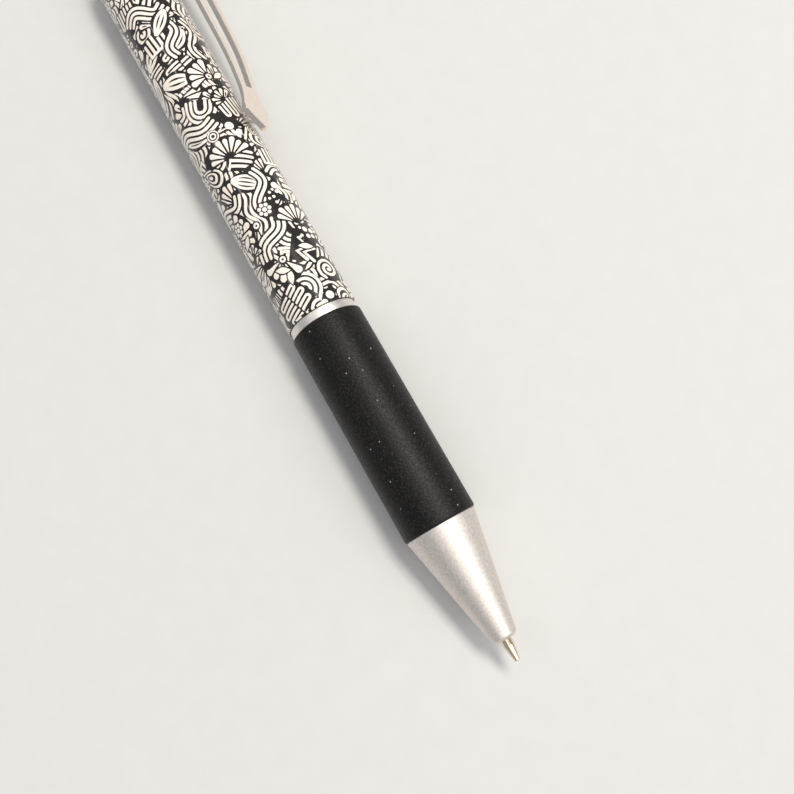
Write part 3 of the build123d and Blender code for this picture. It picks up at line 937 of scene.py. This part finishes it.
def painted_field():
    """The doodles painted on a fine grid, then softened a little: 0 is black and 1 is cream."""
    step_u = WRAP / COLUMNS / FINE
    step_v = LENGTH / ROWS / FINE
    grid = np.zeros((ROWS * FINE, COLUMNS * FINE), np.float32)
    for ink, points in composition():
        outline = np.array(points)
        low_u, low_v = outline.min(axis=0)
        high_u, high_v = outline.max(axis=0)
        first_row = max(0, int(low_v / step_v))
        last_row = min(ROWS * FINE, int(high_v / step_v) + 1)
        first_column, last_column = floor(low_u / step_u), int(high_u / step_u) + 1
        if first_row >= last_row:
            continue
        u = (np.arange(first_column, last_column) + 0.5) * step_u
        v = (np.arange(first_row, last_row) + 0.5)[:, None] * step_v
        inside = np.zeros((len(v), len(u)), bool)
        for (au, av), (bu, bv) in zip(outline, np.roll(outline, 1, axis=0)):
            if av != bv:
                inside ^= ((av > v) != (bv > v)) & (u < au + (v - av) * ((bu - au) / (bv - av)))
        wrapped = np.arange(first_column, last_column) % (COLUMNS * FINE)
        patch = grid[first_row:last_row, wrapped]
        patch[inside] = ink
        grid[first_row:last_row, wrapped] = patch
    soft = grid
    for _ in range(2):
        soft = (np.roll(soft, 1, 1) + 2 * soft + np.roll(soft, -1, 1)) / 4
        padded = np.pad(soft, ((1, 1), (0, 0)), "edge")
        soft = (padded[:-2] + 2 * padded[1:-1] + padded[2:]) / 4
    # values at the cell corners, with the first column repeated at the end
    padded = np.pad(np.concatenate((soft[:, -1:], soft), axis=1), ((1, 1), (0, 0)), "edge")
    corners = (padded[:-1, :-1] + padded[1:, :-1] + padded[:-1, 1:] + padded[1:, 1:]) / 4
    nodes = corners[::FINE, ::FINE]
    nodes = np.concatenate((nodes, nodes[:, :1]), axis=1)[: ROWS + 1, : COLUMNS + 1]
    # no corner lies right on a border, so each border crosses an edge well inside it
    return np.where(np.abs(nodes - 0.5) < 1e-3, 0.501, nodes).astype(float)


# Which sides of a cell a border joins, by its cream corners: 1 and 2 are the low ones, 4 and
# 8 the high ones. The same sides serve when the inks change places.
JOINED = {
    1: ("low", "left"),
    2: ("low", "right"),
    3: ("left", "right"),
    4: ("high", "right"),
    6: ("low", "high"),
    7: ("left", "high"),
}
CASES = {case: (sides,) for n, sides in JOINED.items() for case in (n, 15 - n)}
CASES[5] = (JOINED[1], JOINED[4])
CASES[10] = (JOINED[2], JOINED[7])


def border_segments(field, strip):
    """Where the ink changes inside one strip: short segments between keyed grid crossings."""
    first = strip * CELLS
    block = field[:, first : first + CELLS + 1]
    above = block > 0.5
    step_u, step_v = WRAP / COLUMNS, LENGTH / ROWS
    places, segments = {}, []

    def crossing(row, column, sideways):
        key = (row, column, sideways)
        if key not in places:
            start = block[row, column]
            end = block[row, column + 1] if sideways else block[row + 1, column]
            share = (0.5 - start) / (end - start)
            u = (first + column + (share if sideways else 0)) * step_u
            v = (row + (0 if sideways else share)) * step_v
            places[key] = (u, v)
        return key

    cases = above[:-1, :-1] * 1 + above[:-1, 1:] * 2 + above[1:, 1:] * 4 + above[1:, :-1] * 8
    for row, column in zip(*np.nonzero((cases > 0) & (cases < 15))):
        row, column = int(row), int(column)
        sides = {
            "low": (row, column, True),
            "high": (row + 1, column, True),
            "left": (row, column, False),
            "right": (row, column + 1, False),
        }
        for a, b in CASES[int(cases[row, column])]:
            segments.append((crossing(*sides[a]), crossing(*sides[b])))
    return places, segments


def chained(segments):
    """Segments joined end to end into open lines and closed loops."""
    beside = {}
    for a, b in segments:
        beside.setdefault(a, []).append(b)
        beside.setdefault(b, []).append(a)
    lines = []
    starts = [key for key, others in beside.items() if len(others) == 1] + list(beside)
    for start in starts:
        while beside[start]:
            line = [start]
            while beside[line[-1]]:
                here = line[-1]
                other = beside[here].pop()
                beside[other].remove(here)
                line.append(other)
                if other == start:
                    break
            lines.append(line)
    return lines


def thinned(line, places):
    """Leave out the points of a line that lie within TOLERANCE of its longer runs."""
    if len(line) < 3:
        return line
    (au, av), (bu, bv) = places[line[0]], places[line[-1]]
    du, dv = bu - au, bv - av
    size = hypot(du, dv)
    worst, place = -1.0, 0
    for k in range(1, len(line) - 1):
        u, v = places[line[k]]
        if size > 1e-9:
            apart = abs((u - au) * dv - (v - av) * du) / size
        else:
            apart = hypot(u - au, v - av)
        if apart > worst:
            worst, place = apart, k
    if worst < TOLERANCE:
        return [line[0], line[-1]]
    return thinned(line[: place + 1], places)[:-1] + thinned(line[place:], places)


def strip_triangles(field, strip):
    """One strip cut along the ink's borders: its flat points, triangles and their inks."""
    places, segments = border_segments(field, strip)
    left, right = WRAP * strip / STRIPS, WRAP * (strip + 1) / STRIPS
    points, number = [], {}

    def index_of(place):
        if place not in number:
            number[place] = len(points)
            points.append(place)
        return number[place]

    lines = []
    for line in chained(segments):
        numbers = [index_of(places[key]) for key in thinned(line, places)]
        lines.extend((a, b) for a, b in zip(numbers, numbers[1:]) if a != b)
    for corner in ((left, 0.0), (left, LENGTH), (right, 0.0), (right, LENGTH)):
        index_of(corner)
    for axis, bound in ((0, left), (0, right), (1, 0.0), (1, LENGTH)):
        side = [(p[1 - axis], k) for k, p in enumerate(points) if abs(p[axis] - bound) < 1e-9]
        side.sort()
        lines.extend((a[1], b[1]) for a, b in zip(side, side[1:]))
    flat = [Vector(p) for p in points]
    verts, _, faces, _, _, _ = geometry.delaunay_2d_cdt(flat, lines, [], 1, 1e-6, False)
    inks = []
    for face in faces:
        u = sum(verts[k].x for k in face) / 3 / (WRAP / COLUMNS)
        v = sum(verts[k].y for k in face) / 3 / (LENGTH / ROWS)
        column, row = min(int(u), COLUMNS - 1), min(int(v), ROWS - 1)
        share_u, share_v = u - column, v - row
        low = field[row, column] * (1 - share_u) + field[row, column + 1] * share_u
        high = field[row + 1, column] * (1 - share_u) + field[row + 1, column + 1] * share_u
        inks.append(CREAM if low * (1 - share_v) + high * share_v > 0.5 else BLACK)
    return verts, faces, inks


def angle_of(u):
    """The angle round the barrel of a flat place. The seam is at the floor."""
    return (u / BARREL_R - pi / 2) % (2 * pi)


def barrel_mesh():
    """The printed barrel: an outer skin in two inks, eased ends, and the bores inside."""
    field = painted_field()
    verts, normals, faces, inks = [], [], [], []
    known = {}

    def turned(x, radius, angle, slope):
        """A point of the shell; slope is how far its normal leans along the pen."""
        key = (round(x, 5), round(radius, 5), round(angle, 6))
        if key not in known:
            known[key] = len(verts)
            verts.append((x * MM, radius * MM * cos(angle), radius * MM * sin(angle)))
            lean = cos(slope)
            normals.append((sin(slope), lean * cos(angle), lean * sin(angle)))
        return known[key]

    def skin(u, v):
        """Where a flat point lies. The skin stops where the rounded ends begin."""
        along = min(max(v, EDGE), LENGTH - EDGE)
        return turned(BARREL_FRONT + along, BARREL_R, angle_of(u), 0.0)

    for strip in range(STRIPS):
        flat, triangles, shades = strip_triangles(field, strip)
        for triangle, ink in zip(triangles, shades):
            corners = [skin(flat[k].x, flat[k].y) for k in triangle]
            if len(set(corners)) == 3:
                faces.append(corners)
                inks.append(ink)
    for end, sign, bore in ((EDGE, -1, SOCKET_R), (LENGTH - EDGE, 1, BORE_R)):
        row = 0 if sign < 0 else ROWS
        for column in range(COLUMNS):
            one, other = (angle_of(WRAP * k / COLUMNS) for k in (column, column + 1))
            ink = CREAM if field[row, column] + field[row, column + 1] > 1 else BLACK
            profile = []
            for k in range(EDGE_STEPS + 1):
                lean = pi / 2 / EDGE_STEPS * k
                x = BARREL_FRONT + end + sign * EDGE * sin(lean)
                profile.append((x, BARREL_R - EDGE + EDGE * cos(lean), sign * lean))
            profile.append((profile[-1][0], bore, sign * pi / 2))
            for near, far in zip(profile, profile[1:]):
                around = ((near, one), (near, other), (far, other), (far, one))
                quad = [turned(x, radius, angle, lean) for (x, radius, lean), angle in around]
                faces.append(quad if sign > 0 else quad[::-1])
                inks.append(ink if near[1] > BARREL_R - 0.9 * EDGE else BLACK)
    socket = [(BARREL_FRONT, SOCKET_R), (SOCKET_END, SOCKET_R)]
    inner = socket + [(SOCKET_END, BORE_R), (BARREL_REAR, BORE_R)]
    rings = []
    for x, radius in inner:
        first = len(verts)
        rings.append(first)
        for k in range(BORE_SEGMENTS):
            angle = 2 * pi * k / BORE_SEGMENTS
            verts.append((x * MM, radius * MM * cos(angle), radius * MM * sin(angle)))
            normals.append((0, -cos(angle), -sin(angle)))
    for near, far in zip(rings, rings[1:]):
        for k in range(BORE_SEGMENTS):
            other = (k + 1) % BORE_SEGMENTS
            faces.append([near + k, far + k, far + other, near + other])
            inks.append(BLACK)
    mesh = bpy.data.meshes.new("barrel_print")
    mesh.from_pydata(verts, [], faces)
    mesh.materials.append(MATERIALS["barrel_lacquer"])
    mesh.materials.append(MATERIALS["barrel_ink"])
    mesh.polygons.foreach_set("material_index", inks)
    mesh.polygons.foreach_set("use_smooth", [True] * len(faces))
    mesh.normals_split_custom_set_from_vertices(normals)
    mesh.update()
    return mesh


# ---- the visible pieces ----


def turned_piece(node, body, outline, radii, name=None, segments=SEGMENTS):
    """A turned shell for one node, from (distance behind the ball's front, radius) pairs in
    millimetres and the roundings of some of its corners."""
    metres = [(TIP_X + distance * MM, radius * MM) for distance, radius in outline]
    eased = rounded(metres, {k: r * MM for k, r in radii.items()})
    name = name or node + "_shell"
    place_piece(name, lathe(name, eased, MATERIALS[NODE_SLOTS[node]], segments), node, body)


def add_turned_pieces():
    nose = [
        (3.67, 1.2), (3.67, 1.72), (4.05, 2.1), (22.33, 5.74), (22.7, 5.75), (22.7, 4.0),
        (17.7, 4.0), (17.7, 2.55), (10.5, 2.55), (10.5, 1.2),
    ]
    rounding = {0: 0.08, 1: 0.1, 2: 0.16, 3: 0.12, 4: 0.14}
    turned_piece("nose_cone", "front_section", nose, rounding)
    grip = [(22.7, 4.92), (22.7, 6.0), (58.7, 6.0), (58.7, 4.92)]
    turned_piece("grip_sleeve", "front_section", grip, {1: 0.32, 2: 0.3})
    ring = [(58.72, 4.68), (58.72, 5.63), (60.23, 5.63), (60.23, 4.68)]
    turned_piece("trim_ring", "front_ring", ring, {1: 0.14, 2: 0.14})
    cap = [
        (136.5, 4.08), (133.6, 4.08), (133.6, 4.55), (126.0, 4.55), (126.0, 4.98), (129.0, 4.98),
        (129.0, 6.0), (132.6, 6.0), (134.2, 5.8), (135.5, 5.45), (136.5, 5.1),
    ]
    rounding = {6: 0.15, 7: 1.0, 8: 1.2, 9: 0.9, 10: 0.55, 0: 0.12}
    turned_piece("top_cap", "barrel_body", cap, rounding)
    button = [
        (127.0, 3.02), (127.0, 4.4), (128.0, 4.4), (128.0, 4.0), (136.5, 4.0), (142.0, 3.75),
        (142.0, 0.0), (139.5, 0.0), (139.5, 3.02),
    ]
    rounding = {1: 0.1, 2: 0.1, 5: 0.9}
    turned_piece("push_button", "button", button, rounding)
    point = [
        (0.13, 0.2), (0.13, 0.34), (0.2, 0.43), (2.6, 0.9), (6.0, 0.9), (6.2, 1.1), (14.5, 1.1),
        (14.5, 0.55), (2.2, 0.55), (2.2, 0.2), (0.62, 0.2), (0.62, 0.3), (0.35, 0.37), (0.2, 0.35),
    ]
    rounding = {2: 0.06, 3: 0.25, 4: 0.1, 5: 0.1}
    turned_piece("tip_body", "refill", point, rounding, "writing_point", 96)


def add_ball():
    """The writing ball, as fine as its size in the picture asks for."""
    low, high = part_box("tip_ball")
    centre, radius = (low + high) / 2, (high.x - low.x) / 2
    ball = bmesh.new()
    place = Matrix.Translation(centre)
    bmesh.ops.create_icosphere(ball, subdivisions=5, radius=radius, matrix=place)
    mesh = finish_mesh("writing_ball", ball, MATERIALS["ball_carbide"])
    place_piece("writing_ball", mesh, "tip_ball", "ball")


def add_clip():
    """The bent sheet and the tab under its leaf, as one piece."""
    joined = bmesh.new()
    for sheet in (clip_mesh(), foot_mesh()):
        joined.from_mesh(sheet)
    mesh = finish_mesh("clip_sheet_metal", joined, MATERIALS["clip_steel"], SHEET_SHARP)
    place_piece("clip_sheet_metal", mesh, "clip", "clip")


def add_return_spring():
    """A copy of the spring in spring steel, fixed where the CAD node lies, in its place."""
    node = bpy.data.objects["return_spring"]
    mesh = node.data.copy()
    mesh.transform(node.matrix_world)
    mesh.materials.clear()
    mesh.materials.append(MATERIALS["spring_steel"])
    spring = new_object("coiled_return_spring", mesh)
    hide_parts("return_spring")
    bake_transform(spring)


add_turned_pieces()
add_ball()
add_clip()
add_return_spring()
place_piece("printed_barrel", barrel_mesh(), "barrel", "barrel_body")

add_camera()
add_studio()
add_floor()
